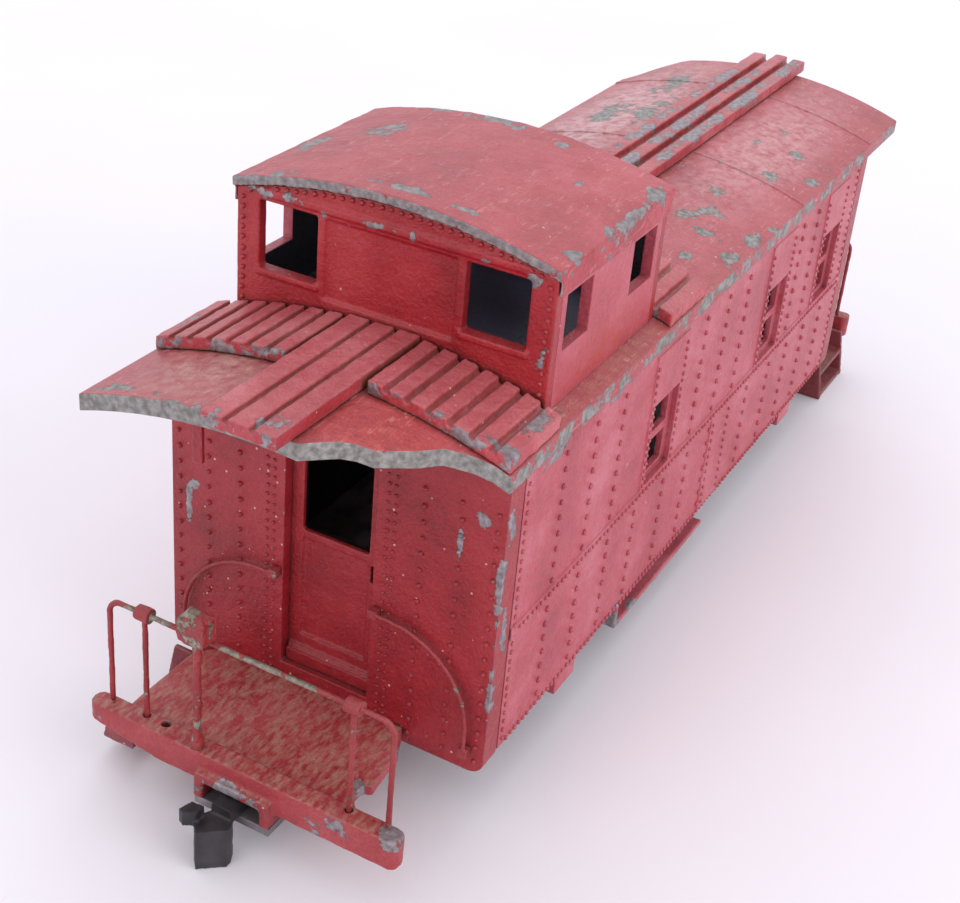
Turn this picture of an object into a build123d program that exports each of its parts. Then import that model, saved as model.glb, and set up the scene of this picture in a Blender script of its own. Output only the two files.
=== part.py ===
"""Model caboose of cast metal in about 1:87, without its trucks, as separate pieces in millimetres.

+X points to the cupola end, +Z is up, and the origin lies on the surface that the car rests on,
below its middle. "Right" is +Y and "left" is -Y.
"""
import os
from math import sqrt

from build123d import *

# Body shell
body_length = 90.4          # one side casting
body_width = 33.5           # over both side castings
side_height = 28.3
side_thickness = 1.3
ride_height = 6.8           # resting surface to the sides' lower edges
corner_seam = 0.2           # open seam between a side and an end casting
corner_return = 2.5         # how far an end's face stands beyond the seam
end_thickness = 1.2
end_drop = 1.1              # the ends reach this far below the sides
end_corner_radius = 1.4
corner_post_length = 3.4
corner_post_width = 3.0
corner_post_height = 11.0
fit = 0.05                  # clearance between cast pieces that meet

# Side windows and raised strips
window_width = 6.2
window_height = 9.0
window_sill_height = 13.3   # above the side's lower edge
window_places = (0.1615, -0.1925, -0.407)   # centres, as shares of the body's length
sash_recess = 0.55
sash_border = 0.6
sash_rail = 0.9
strip_proud = 0.14
belt_height = 1.3
frame_strip = 0.85
frame_margin = 0.4          # strip's end to the side's top edge
splice_x = -6.9             # edge of the riveted splice plate
splice_width = 5.6
splice_margin = 0.5

# End doors
door_opening = 9.2
door_head = 0.3             # opening's top above the sides' top edges
door_lap = 0.8
door_thickness = 0.9
door_window_width = 6.8
door_window_height = 9.6
door_window_sill = 14.3     # above the floor's top
door_panel_depth = 0.3
door_frame = 0.8
kick_height = 1.3
kick_proud = 0.6
ledge_proud = 0.3
latch_y = 3.9
latch_width = 0.4
latch_lift = 11.4
latch_height = 1.8

# Main roof
eave_overhang = 0.55
roof_rise = 3.0
roof_thickness = 1.6
eave_lift = 0.8             # eave's underside above the sides' top edges
roof_front_reach = 11.1     # beyond the end wall's face
roof_rear_reach = 9.2
roof_seat_width = 1.4
seam_rib = 0.12
seam_rib_width = 0.7
rear_seams = (-0.228, -0.507)   # as shares of the body's length
break_inner_gap = 0.4       # front break's side, beside the running board
front_break = ((8.6, 0.353), (8.0, 0.416), (7.7, 0.497), (5.2, 0.63), (3.2, 0.7), (2.0, 0.827),
               (1.6, 0.913))      # beyond the end wall's face, and share of the roof's half width
rear_break = ((0.0, 0.659), (0.8, 0.728), (4.4, 0.844), (7.6, 0.919))   # inside the rear end, and share

# Cupola
cupola_setback = 7.6        # behind the front end wall's face
cupola_length = 22.3
cupola_inset = 1.35         # inside the body's side
cupola_height = 16.1        # side edge of its roof above the sides' top edges
cupola_rise = 2.2
cupola_wall = 1.1
cupola_roof_thickness = 1.0
cupola_roof_lip = 0.35
cupola_skirt = 2.5
cupola_window_width = 5.9
cupola_window_height = 6.2
cupola_window_lift = 8.2    # sill above the sides' top edges
cupola_window_inset = 2.35  # corner to window
cupola_sill_height = 0.6
cupola_sill_proud = 0.3
cupola_side_window = 4.9
cupola_side_window_height = 5.1
cupola_side_lift = 8.0
cupola_side_inset = 2.1     # corner to side window
moulding_height = 0.7
moulding_lift = 0.5         # above the windows
moulding_proud = 0.25
moulding_inset = 2.4        # short of each corner, where the roof's lip comes down
panel_recess = 0.3
panel_gap = 0.8             # window to panel
panel_lift = 0.3            # above the running board

# Roof walks
plank_thickness = 1.3
board_plank = 2.05
board_groove = 0.4
board_planks = 3
rear_board_groove = 0.85    # the rear planks are worn narrow
rear_groove_depth = 0.95
rear_plank_loss = (0.9, 0.0, 0.5)   # missing from each rear plank's end, left to right
board_front_reach = 13.3    # beyond the end wall's face
board_rear_reach = 11.9
walk_length = 9.2
walk_groove = 0.5
walk_groove_depth = 0.55
walk_planks = 7
walk_gap = 0.45             # between running board and side walk
walk_margin = 0.125         # outer plank to the eave
walk_wall_gap = 0.3         # to the cupola's wall

# Underframe
floor_thickness = 1.6
floor_lift = 0.4            # floor's underside above the sides' lower edges
sill_width = 6.8
sill_depth = 2.8
bolster_inset = 13.8        # behind the side casting's end
bolster_width = 4.3
bolster_depth = 2.2
bolster_pad_height = 0.8
truck_hole_radius = 0.9
channel_x = 7.5
channel_length = 23.8
channel_depth = 3.4
channel_web = 0.6

# End platforms
platform_length = 11.3
deck_inset = 3.75           # inside the body's side
deck_corner = 1.8
front_deck_break = ((0.0, 4.4), (3.2, 2.9), (6.5, 2.7), (8.0, 2.5), (8.3, 3.2), (9.3, 3.4), (10.3, 2.9))
break_at_sill = 2.0         # all inside the deck's right edge
deck_thickness = 1.1
deck_lift = 0.6             # deck's top above the sides' lower edges
end_sill_width = 2.0
end_sill_inset = 0.75       # inside the body's side
end_sill_height = 3.0
end_sill_lip = 0.5          # sill's top above the deck
end_sill_radius = 0.9
sill_wedge_length = 7.5     # lower edge lost at the front left end
sill_wedge_height = 1.2
sill_hole_radius = 0.42
sill_hole_y = -8.4
draft_sill_web = 3.0        # solid length of the draft sill behind the end wall's face
step_length = 9.8
step_gap = 0.7              # beyond the end wall's face
step_plate = 0.6
step_tuck = 0.4             # side plate inside the deck's edge
step_reach = 3.3
step_splay = 1.0
step_lip = 0.8
tread_inset = 0.15
step_rise = 3.1
short_step_height = 1.4
step_flange = 2.2

# Couplers and their pockets
pocket_half_width = 3.9
pocket_wall = 1.0
pocket_height = 1.8
pocket_nose = 0.7           # pocket's mouth beyond the end sill
pocket_drop = 2.75          # pocket's open underside below the deck's underside
cover_thickness = 0.8
cover_setback = 0.2         # behind the pocket's mouth
pivot_reach = 7.1           # beyond the end wall's face
pivot_radius = 1.2
pivot_clearance = 0.05
coupler_thickness = 1.5
coupler_ring_radius = 2.2
shank_width = 2.0
tail_length = 0.6           # beyond the ring
tail_half_width = 0.8
head_gap = 0.8              # beyond the pocket's mouth
head_lap = 0.5              # how far the head rises into the shank's thickness
head_root = 0.4             # how far the shank runs into the head
head_profile = ((0.0, -1.0), (0.7, -1.45), (2.3, -1.45), (3.2, -0.6), (1.5, 1.45), (0.9, 1.45),
                (0.0, 1.0))         # beyond the head's back, and across
horn_profile = ((0.9, -1.25), (1.1, -2.5), (2.4, -2.9), (2.7, -2.3), (2.0, -1.25))
spring_thickness = 0.15
spring_length = 3.4
spring_height = 1.0
spring_bite = 0.85          # length held in the coupler's tail
spring_clearance = 0.02
spring_slot_end = 0.05
screw_radius = 0.6
screw_head_radius = 1.4
screw_head_height = 0.9
screw_length = 4.6
screw_clearance = 0.1
screw_tip_gap = 0.3         # pocket screw's tip below the deck's underside
slot_width = 0.4
slot_depth = 0.3

# Wire and cast rods
rail_wire = 0.28
rail_setback = 0.5          # beyond the deck's end
rail_height = 10.9          # above the end sill
rail_inset = 1.7            # outer post from the end sill's end
rail_bend = 1.3
inner_post_spacing = 3.8    # from the outer post
inner_post_tail = 1.2       # sticks out under the end sill
post_clearance = 0.04
eye_radius = 0.72
eye_length = 1.5
staff_radius = 0.45
staff_setback = 1.3         # beyond the deck's end
staff_y = -4.4
staff_foot_radius = 0.68
staff_foot_height = 2.2
staff_head = (2.0, 2.7, 2.9)
staff_head_gap = 0.15       # above the rail
staff_head_socket = 0.5
staff_head_chamfer = 0.55
handrail_wire = 0.22
handrail_standoff = 0.7
handrail_door_gap = 0.6
handrail_inset = 1.75       # inside the body's side
handrail_top = 11.9         # above the sides' lower edges
handrail_foot = 1.2
handrail_bend_share = 0.857 # bend's radius as a share of the handrail's width
handrail_lug = 0.9
hanger_reach = 6.5          # beyond the end wall's face
hanger_y = -8.8
hanger_length = 6.2
hanger_width = 1.0
hanger_thickness = 0.5

# Heights and places that follow from these
side_bottom = ride_height
side_top = side_bottom + side_height
end_bottom = side_bottom - end_drop
end_face = body_length / 2 + corner_seam + corner_return
inner_half = body_width / 2 - side_thickness
roof_width = body_width + 2 * eave_overhang
roof_radius = ((roof_width / 2) ** 2 + roof_rise**2) / (2 * roof_rise)
roof_crown = side_top + eave_lift + roof_thickness + roof_rise
roof_top = (roof_crown, roof_radius)
roof_under = (roof_crown - roof_thickness, roof_radius)
roof_front = end_face + roof_front_reach
roof_rear = -end_face - roof_rear_reach
cupola_front_x = end_face - cupola_setback
cupola_rear_x = cupola_front_x - cupola_length
cupola_half = body_width / 2 - cupola_inset
cupola_radius = (cupola_half**2 + cupola_rise**2) / (2 * cupola_rise)
cupola_crown = side_top + cupola_height + cupola_rise
cupola_top = (cupola_crown, cupola_radius)
cupola_under = (cupola_crown - cupola_roof_thickness, cupola_radius)
cupola_window_y = cupola_half - cupola_window_inset - cupola_window_width / 2
floor_bottom = side_bottom + floor_lift
floor_top = floor_bottom + floor_thickness
door_top = side_top + door_head
bolster_x = body_length / 2 - bolster_inset
sill_bottom = floor_bottom - sill_depth
deck_top = side_bottom + deck_lift
deck_bottom = deck_top - deck_thickness
deck_half_width = body_width / 2 - deck_inset
end_sill_half = body_width / 2 - end_sill_inset
end_sill_x = end_face + platform_length
end_sill_top = deck_top + end_sill_lip
pocket_front = end_sill_x + end_sill_width + pocket_nose
pocket_lift = deck_bottom - pocket_drop
cover_bottom = pocket_lift - cover_thickness
pocket_ceiling = pocket_lift + pocket_height
coupler_bottom = pocket_lift + (pocket_height - coupler_thickness) / 2
pivot_x = end_face + pivot_reach
head_back = pocket_front + head_gap
head_height = coupler_bottom + head_lap
step_inner = deck_half_width - step_tuck
step_top = step_inner + step_reach
step_foot = step_top + step_splay
rail_x = end_sill_x + rail_setback
rail_half = end_sill_half - rail_inset
inner_post_y = rail_half - inner_post_spacing
staff_x = end_sill_x + staff_setback
handrail_inner = door_opening / 2 + handrail_door_gap
handrail_outer = body_width / 2 - handrail_inset
handrail_bend = (handrail_outer - handrail_inner) * handrail_bend_share
hanger_x = end_face + hanger_reach
board_half = (board_planks * board_plank + (board_planks - 1) * board_groove) / 2
walk_inner = board_half + walk_gap
walk_width = roof_width / 2 - walk_margin - walk_inner
walk_plank = (walk_width - (walk_planks - 1) * walk_groove) / walk_planks
post_x = end_face - end_thickness - corner_post_length / 2
post_y = inner_half - corner_post_width / 2
ends = (("front", 1), ("rear", -1))
sides = (("right", 1), ("left", -1))
window_centres = [share * body_length for share in window_places]


def level(height):
    """A flat curve, for arched_block."""
    return (height, 0)


def height_of(curve, y):
    crown, radius = curve
    if radius == 0:
        return crown
    return crown - radius + sqrt(radius**2 - y**2)


def raised(curve, rise):
    """The curve moved outwards by rise, with the same centre."""
    crown, radius = curve
    return (crown + rise, radius + rise if radius else 0)


def arched_block(x_range, y_range, lower, upper, mode=Mode.ADD):
    """Solid along X between two curves that arch across Y."""
    x_low, x_high = sorted(x_range)
    y_low, y_high = sorted(y_range)
    y_mid = (y_low + y_high) / 2
    with BuildSketch(Plane(origin=(x_low, 0, 0), x_dir=(0, 1, 0), z_dir=(1, 0, 0))) as profile:
        with BuildLine():
            for curve in (lower, upper):
                start = (y_low, height_of(curve, y_low))
                stop = (y_high, height_of(curve, y_high))
                if curve[1] == 0:
                    Line(start, stop)
                else:
                    ThreePointArc(start, (y_mid, height_of(curve, y_mid)), stop)
            for y in (y_low, y_high):
                Line((y, height_of(lower, y)), (y, height_of(upper, y)))
        make_face()
    extrude(profile.sketch, amount=x_high - x_low, mode=mode)


def block(x_range, y_range, z_range, mode=Mode.ADD):
    """Box between two values on each axis, given in any order."""
    spans = (x_range, y_range, z_range)
    centre = [(low + high) / 2 for low, high in spans]
    size = [abs(high - low) for low, high in spans]
    with Locations(Location(tuple(centre))):
        Box(*size, mode=mode)


def upright(x, y, z_range, radius, mode=Mode.ADD):
    """Cylinder along Z."""
    with Locations(Location((x, y, min(z_range)))):
        Cylinder(radius, abs(z_range[1] - z_range[0]),
                 align=(Align.CENTER, Align.CENTER, Align.MIN), mode=mode)


def plan(z, facing=1):
    """Level plane whose x axis points outwards at the front (1) or rear (-1) end."""
    return Plane(origin=(0, 0, z), x_dir=(facing, 0, 0), z_dir=(0, 0, 1))


def finish(builder, name, color):
    builder.part.label = name
    builder.part.color = Color(color)
    export_step(builder.part, f"parts/{name}.step")
    print(name, len(builder.part.solids()), round(builder.part.volume, 1))


os.makedirs("parts", exist_ok=True)

# Side castings, each with three recessed double-sash windows, belt strip and splice plate
for side, hand in sides:
    outer = hand * body_width / 2
    proud = outer + hand * strip_proud
    window_bottom = side_bottom + window_sill_height
    window_top = window_bottom + window_height
    with BuildPart() as side_wall:
        block((-body_length / 2, body_length / 2), (hand * inner_half, outer), (side_bottom, side_top))
        block((-body_length / 2, body_length / 2), (outer, proud),
              (window_bottom - belt_height, window_bottom))
        block((splice_x, splice_x + splice_width), (outer, proud),
              (side_bottom + splice_margin, window_bottom - belt_height))
        for x in window_centres:
            block((x - window_width / 2 - frame_strip, x + window_width / 2 + frame_strip),
                  (outer, proud), (window_bottom, side_top - frame_margin))
        for x in window_centres:
            block((x - window_width / 2, x + window_width / 2),
                  (outer - hand * sash_recess, proud), (window_bottom, window_top), mode=Mode.SUBTRACT)
            pane = (window_height - 2 * sash_border - sash_rail) / 2
            for low in (window_bottom + sash_border, window_top - sash_border - pane):
                block((x - window_width / 2 + sash_border, x + window_width / 2 - sash_border),
                      (hand * inner_half, outer), (low, low + pane), mode=Mode.SUBTRACT)
    finish(side_wall, f"side_wall_{side}", 0xB05A60)

# End castings with corner returns, corner posts and a door opening
for end, facing in ends:
    face = facing * end_face
    inside = facing * (end_face - end_thickness)
    with BuildPart() as end_wall:
        arched_block((inside, face), (-body_width / 2, body_width / 2), level(end_bottom),
                     raised(roof_under, -fit))
        for hand in (1, -1):
            arched_block((facing * (body_length / 2 + corner_seam), inside),
                         (hand * inner_half, hand * body_width / 2), level(end_bottom),
                         raised(roof_under, -fit))
        corners = end_wall.edges().filter_by(Axis.X).group_by(Axis.Z)[0]
        outer_corners = [edge for edge in corners if abs(edge.center().Y) > inner_half + fit]
        fillet(outer_corners, end_corner_radius)
        for hand in (1, -1):
            block((inside, inside - facing * corner_post_length),
                  (hand * (inner_half - fit), hand * (inner_half - corner_post_width)),
                  (floor_top, floor_top + corner_post_height))
            upright(facing * post_x, hand * post_y, (floor_top, floor_top + screw_length),
                    screw_radius + fit, mode=Mode.SUBTRACT)
        block((inside, face), (-door_opening / 2, door_opening / 2),
              (floor_top, door_top), mode=Mode.SUBTRACT)
        block((inside, face), (-sill_width / 2 - fit, sill_width / 2 + fit),
              (end_bottom, floor_bottom + fit), mode=Mode.SUBTRACT)
    finish(end_wall, f"end_wall_{end}", 0x8C2D32)

# Doors, pressed against the inside of the end walls
for end, facing in ends:
    back = facing * (end_face - end_thickness - door_thickness)
    front = facing * (end_face - end_thickness)
    half = door_opening / 2 + door_lap
    window_low = floor_top + door_window_sill
    with BuildPart() as door:
        block((back, front), (-half, half), (floor_top, door_top + door_lap))
        block((back, front), (-door_window_width / 2, door_window_width / 2),
              (window_low, window_low + door_window_height), mode=Mode.SUBTRACT)
        block((front - facing * door_panel_depth, front),
              (-door_window_width / 2, door_window_width / 2),
              (floor_top + kick_height + 2 * door_frame, window_low - door_frame), mode=Mode.SUBTRACT)
        block((front, front + facing * kick_proud), (-door_opening / 2 + fit, door_opening / 2 - fit),
              (floor_top, floor_top + kick_height))
        block((front, front + facing * ledge_proud), (-door_opening / 2 + fit, door_opening / 2 - fit),
              (floor_top + kick_height, floor_top + kick_height + door_frame / 2))
        latch = facing * latch_y
        block((back, front), (latch - latch_width / 2, latch + latch_width / 2),
              (floor_top + latch_lift, floor_top + latch_lift + latch_height), mode=Mode.SUBTRACT)
    finish(door, f"door_{end}", 0x7C2429)

# Main roof: one arched casting, its front right overhang and rear left corner broken away
break_inner = board_half + break_inner_gap
with BuildPart() as main_roof:
    arched_block((roof_rear, roof_front), (-roof_width / 2, roof_width / 2), roof_under, roof_top)
    for hand in (1, -1):
        arched_block((-body_length / 2, body_length / 2),
                     (hand * (inner_half - fit), hand * (inner_half - fit + roof_seat_width)),
                     level(side_top), roof_under)
    for share in rear_seams:
        x = share * body_length
        arched_block((x - seam_rib_width / 2, x + seam_rib_width / 2),
                     (board_half + fit, roof_width / 2), roof_top, raised(roof_top, seam_rib))
        arched_block((x - seam_rib_width / 2, x + seam_rib_width / 2),
                     (-roof_width / 2, -board_half - fit), roof_top, raised(roof_top, seam_rib))
    with BuildSketch(plan(side_top + fit)):
        with BuildLine():
            Polyline((roof_front + 1, break_inner), (roof_front, break_inner),
                     *[(end_face + reach, share * roof_width / 2) for reach, share in front_break],
                     (end_face + front_break[-1][0], roof_width / 2 + 1),
                     (roof_front + 1, roof_width / 2 + 1), close=True)
        make_face()
    extrude(amount=roof_crown - side_top, mode=Mode.SUBTRACT)
    with BuildSketch(plan(side_top + fit)):
        with BuildLine():
            Polyline((roof_rear - 1, -rear_break[0][1] * roof_width / 2),
                     *[(roof_rear + depth, -share * roof_width / 2) for depth, share in rear_break],
                     (-end_face, -roof_width / 2), (-end_face, -roof_width / 2 - 1),
                     (roof_rear - 1, -roof_width / 2 - 1), close=True)
        make_face()
    extrude(amount=roof_crown - side_top, mode=Mode.SUBTRACT)
finish(main_roof, "main_roof", 0xC8737D)

# Cupola end walls: two windows, a recessed middle panel and a moulding
roof_clear = raised(roof_top, fit / 2)
for end, face, facing in (("front", cupola_front_x, 1), ("rear", cupola_rear_x, -1)):
    inside = face - facing * cupola_wall
    window_low = side_top + cupola_window_lift
    with BuildPart() as cupola_end:
        arched_block((inside, face), (-cupola_half, cupola_half), roof_clear, raised(cupola_under, -fit / 2))
        moulding_low = window_low + cupola_window_height + moulding_lift
        block((face, face + facing * moulding_proud),
              (-cupola_half + moulding_inset, cupola_half - moulding_inset),
              (moulding_low, moulding_low + moulding_height))
        for hand in (1, -1):
            middle = hand * cupola_window_y
            sill_half = cupola_window_width / 2 + cupola_sill_proud
            block((face, face + facing * cupola_sill_proud), (middle - sill_half, middle + sill_half),
                  (window_low - cupola_sill_height, window_low))
            block((inside, face), (middle - cupola_window_width / 2, middle + cupola_window_width / 2),
                  (window_low, window_low + cupola_window_height), mode=Mode.SUBTRACT)
        panel_half = cupola_window_y - cupola_window_width / 2 - panel_gap
        block((face - facing * panel_recess, face), (-panel_half, panel_half),
              (roof_crown + plank_thickness + panel_lift, window_low + cupola_window_height),
              mode=Mode.SUBTRACT)
    finish(cupola_end, f"cupola_{end}_wall", 0xA0282D)

# Cupola sides, between the end walls, with two windows each
for side, hand in sides:
    window_low = side_top + cupola_side_lift
    with BuildPart() as cupola_side:
        arched_block((cupola_rear_x + cupola_wall, cupola_front_x - cupola_wall),
                     (hand * (cupola_half - cupola_wall), hand * cupola_half), roof_clear,
                     raised(cupola_under, -fit / 2))
        for x in (cupola_front_x - cupola_side_inset, cupola_rear_x + cupola_side_inset + cupola_side_window):
            block((x - cupola_side_window, x), (hand * (cupola_half - cupola_wall), hand * cupola_half),
                  (window_low, window_low + cupola_side_window_height), mode=Mode.SUBTRACT)
    finish(cupola_side, f"cupola_side_{side}", 0xA83A40)

# Cupola roof with a skirt that hangs over each side's top
with BuildPart() as cupola_roof:
    skirt_outer = cupola_half + cupola_roof_lip
    arched_block((cupola_rear_x - cupola_roof_lip, cupola_front_x + cupola_roof_lip),
                 (-skirt_outer, skirt_outer), cupola_under, cupola_top)
    for hand in (1, -1):
        arched_block((cupola_rear_x, cupola_front_x), (hand * (cupola_half + fit / 2), hand * skirt_outer),
                     level(height_of(cupola_top, cupola_half) - cupola_skirt), cupola_under)
finish(cupola_roof, "cupola_roof", 0xB8525A)

# Running boards: three lengthwise planks in one casting, on the crown of the roof
for end, start, stop, groove, depth in (
    ("front", cupola_front_x + fit, end_face + board_front_reach, board_groove, walk_groove_depth),
    ("rear", cupola_rear_x - fit, -end_face - board_rear_reach, rear_board_groove, rear_groove_depth),
):
    board_top = roof_crown + plank_thickness
    pitch = (2 * board_half + groove) / board_planks
    with BuildPart() as board:
        arched_block((start, stop), (-board_half, board_half), roof_clear, level(board_top))
        for number in range(1, board_planks):
            y = -board_half + number * pitch - groove / 2
            block((start, stop), (y - groove / 2, y + groove / 2), (board_top - depth, board_top),
                  mode=Mode.SUBTRACT)
        if end == "rear":
            for number, loss in enumerate(rear_plank_loss):
                y = -board_half + number * pitch
                if loss > 0:
                    block((stop, stop + loss), (y - groove / 2, y + pitch - groove / 2),
                          (roof_crown - roof_rise, board_top), mode=Mode.SUBTRACT)
    finish(board, f"running_board_{end}", 0xA8424A)

# Side walks: short planks over the roof's curve, before and behind the cupola
for end, start, stop in (
    ("front", cupola_front_x + walk_wall_gap, cupola_front_x + walk_length),
    ("rear", cupola_rear_x - walk_wall_gap, cupola_rear_x - walk_length),
):
    for side, hand in sides:
        with BuildPart() as walk:
            arched_block((start, stop), (hand * walk_inner, hand * (walk_inner + walk_width)),
                         roof_clear, raised(roof_top, plank_thickness))
            for number in range(1, walk_planks):
                y = walk_inner + number * walk_plank + (number - 0.5) * walk_groove
                top = height_of(raised(roof_top, plank_thickness), y)
                block((start, stop), (hand * (y - walk_groove / 2), hand * (y + walk_groove / 2)),
                      (top - walk_groove_depth, top + plank_thickness), mode=Mode.SUBTRACT)
        finish(walk, f"walkway_{end}_{side}", 0xA03C44)

# Floor plate, held by a screw into each corner post
floor_half = end_face - end_thickness - door_thickness - fit
with BuildPart() as floor_plate:
    block((-floor_half, floor_half), (-inner_half + fit, inner_half - fit), (floor_bottom, floor_top))
    for facing in (1, -1):
        for hand in (1, -1):
            upright(facing * post_x, hand * post_y, (floor_bottom, floor_top),
                    screw_radius + screw_clearance, mode=Mode.SUBTRACT)
finish(floor_plate, "floor_plate", 0x6A6E70)

with BuildPart() as floor_screws:
    for facing in (1, -1):
        for hand in (1, -1):
            upright(facing * post_x, hand * post_y, (floor_bottom, floor_bottom + screw_length),
                    screw_radius)
            upright(facing * post_x, hand * post_y, (floor_bottom - screw_head_height, floor_bottom),
                    screw_head_radius)
            block((facing * post_x - slot_width / 2, facing * post_x + slot_width / 2),
                  (hand * post_y - screw_head_radius, hand * post_y + screw_head_radius),
                  (floor_bottom - screw_head_height, floor_bottom - screw_head_height + slot_depth),
                  mode=Mode.SUBTRACT)
finish(floor_screws, "floor_screws", 0xB8B8B0)

# Centre sill between the bolsters, an inverted channel
with BuildPart() as centre_sill:
    reach = bolster_x - bolster_width / 2
    block((-reach, reach), (-sill_width / 2, sill_width / 2), (sill_bottom, floor_bottom))
    block((-reach, reach), (-sill_width / 2 + channel_web, sill_width / 2 - channel_web),
          (sill_bottom, floor_bottom - channel_web), mode=Mode.SUBTRACT)
finish(centre_sill, "centre_sill", 0x7A3A3E)

# Body bolsters with a round pad and the hole for a truck's screw
bolster_bottom = floor_bottom - bolster_depth
pad_bottom = bolster_bottom - bolster_pad_height
for end, facing in ends:
    across = (facing * bolster_x - bolster_width / 2, facing * bolster_x + bolster_width / 2)
    with BuildPart() as bolster:
        block(across, (-inner_half + fit, inner_half - fit), (bolster_bottom, floor_bottom))
        block(across, (-body_width / 2, body_width / 2), (bolster_bottom, side_bottom - fit))
        upright(facing * bolster_x, 0, (pad_bottom, bolster_bottom), bolster_width / 2)
        upright(facing * bolster_x, 0, (pad_bottom, floor_bottom), truck_hole_radius, mode=Mode.SUBTRACT)
    finish(bolster, f"bolster_{end}", 0x7A3A3E)

# Equipment channels under the middle of each side, open outwards, closed at the front
for side, hand in sides:
    web_inner = inner_half - fit - channel_web
    channel_rear = channel_x - channel_length / 2
    channel_front = channel_x + channel_length / 2
    channel_bottom = floor_bottom - channel_depth
    with BuildPart() as channel:
        block((channel_rear, channel_front), (hand * web_inner, hand * (web_inner + channel_web)),
              (channel_bottom, floor_bottom))
        block((channel_rear, channel_front), (hand * web_inner, hand * body_width / 2),
              (channel_bottom, channel_bottom + channel_web))
        block((channel_front - channel_web, channel_front), (hand * web_inner, hand * body_width / 2),
              (channel_bottom, side_bottom - fit))
    finish(channel, f"equipment_channel_{side}", 0x8C4A4E)

# End platforms: deck, end sill, draft sill and coupler pocket in one casting
for end, facing in ends:
    with BuildPart() as platform:
        with BuildSketch(plan(deck_bottom, facing)):
            with BuildLine():
                if facing > 0:
                    right_edge = [(end_face + reach, deck_half_width - loss)
                                  for reach, loss in front_deck_break]
                    right_edge.append((end_sill_x, deck_half_width - break_at_sill))
                else:
                    right_edge = [(end_face, deck_half_width - deck_corner),
                                  (end_face + deck_corner, deck_half_width), (end_sill_x, deck_half_width)]
                Polyline(*right_edge, (end_sill_x, -deck_half_width),
                         (end_face + deck_corner, -deck_half_width),
                         (end_face, -deck_half_width + deck_corner), close=True)
            make_face()
        extrude(amount=deck_thickness)
        with BuildSketch(plan(end_sill_top - end_sill_height, facing)):
            with Locations((end_sill_x + end_sill_width / 2, 0)):
                RectangleRounded(end_sill_width, 2 * end_sill_half, end_sill_radius)
        extrude(amount=end_sill_height)
        if facing > 0:
            sill_low = end_sill_top - end_sill_height
            with BuildSketch(Plane(origin=(end_sill_x, 0, 0), x_dir=(0, 1, 0), z_dir=(1, 0, 0))):
                with BuildLine():
                    Polyline((-end_sill_half, sill_low), (-end_sill_half + sill_wedge_length, sill_low),
                             (-end_sill_half, sill_low + sill_wedge_height), close=True)
                make_face()
            extrude(amount=end_sill_width, mode=Mode.SUBTRACT)
        block((facing * end_face, facing * pocket_front), (-pocket_half_width, pocket_half_width),
              (pocket_lift, deck_bottom))
        block((facing * (end_face + pocket_wall), facing * pocket_front),
              (-pocket_half_width + pocket_wall, pocket_half_width - pocket_wall),
              (pocket_lift, pocket_ceiling), mode=Mode.SUBTRACT)
        block((facing * (bolster_x + bolster_width / 2), facing * end_face),
              (-sill_width / 2, sill_width / 2), (sill_bottom, floor_bottom))
        block((facing * (bolster_x + bolster_width / 2), facing * (end_face - draft_sill_web)),
              (-sill_width / 2 + channel_web, sill_width / 2 - channel_web),
              (sill_bottom, floor_bottom - channel_web), mode=Mode.SUBTRACT)
        upright(facing * pivot_x, 0, (pocket_lift, pocket_ceiling), pivot_radius)
        upright(facing * pivot_x, 0, (pocket_lift, deck_bottom), screw_radius + fit, mode=Mode.SUBTRACT)
        for hand in (1, -1):
            upright(facing * rail_x, hand * inner_post_y,
                    (end_sill_top - end_sill_height, end_sill_top), rail_wire + post_clearance,
                    mode=Mode.SUBTRACT)
        upright(facing * rail_x, facing * sill_hole_y, (end_sill_top - end_sill_height, end_sill_top),
                sill_hole_radius, mode=Mode.SUBTRACT)
    finish(platform, f"platform_{end}", 0x9A4A4C)

# Steps: two side plates, treads and a flange under the deck. The front left one is broken short,
# and the front right one is gone.
for end, facing, side, hand, foot in (
    ("front", 1, "left", -1, short_step_height),
    ("rear", -1, "left", -1, 0.0),
    ("rear", -1, "right", 1, 0.0),
):
    near = end_face + step_gap
    far = near + step_length
    treads = [foot] if foot > 0 else [foot, foot + step_rise]
    with BuildPart() as step:
        for x in (near, far - step_plate):
            with BuildSketch(Plane(origin=(min(facing * x, facing * (x + step_plate)), 0, 0),
                                   x_dir=(0, 1, 0), z_dir=(1, 0, 0))):
                with BuildLine():
                    Polyline((hand * step_inner, deck_bottom), (hand * step_top, deck_bottom),
                             (hand * step_foot, foot), (hand * (step_inner + step_lip), foot),
                             (hand * (step_inner + step_lip), foot + step_rise / 2),
                             (hand * step_inner, foot + step_rise), close=True)
                make_face()
            extrude(amount=step_plate)
        for z in treads:
            outward = step_foot - (step_foot - step_top) * (z - foot) / (deck_bottom - foot)
            block((facing * near, facing * far),
                  (hand * (step_inner + step_lip), hand * (outward - tread_inset)), (z, z + step_plate))
        block((facing * near, facing * far), (hand * (step_inner - step_flange), hand * step_inner),
              (deck_bottom - step_plate, deck_bottom))
        block((facing * near, facing * far), (hand * step_inner, hand * deck_half_width),
              (deck_bottom - step_plate, deck_bottom))
    finish(step, f"step_{end}_{side}", 0x8C4448)

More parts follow.
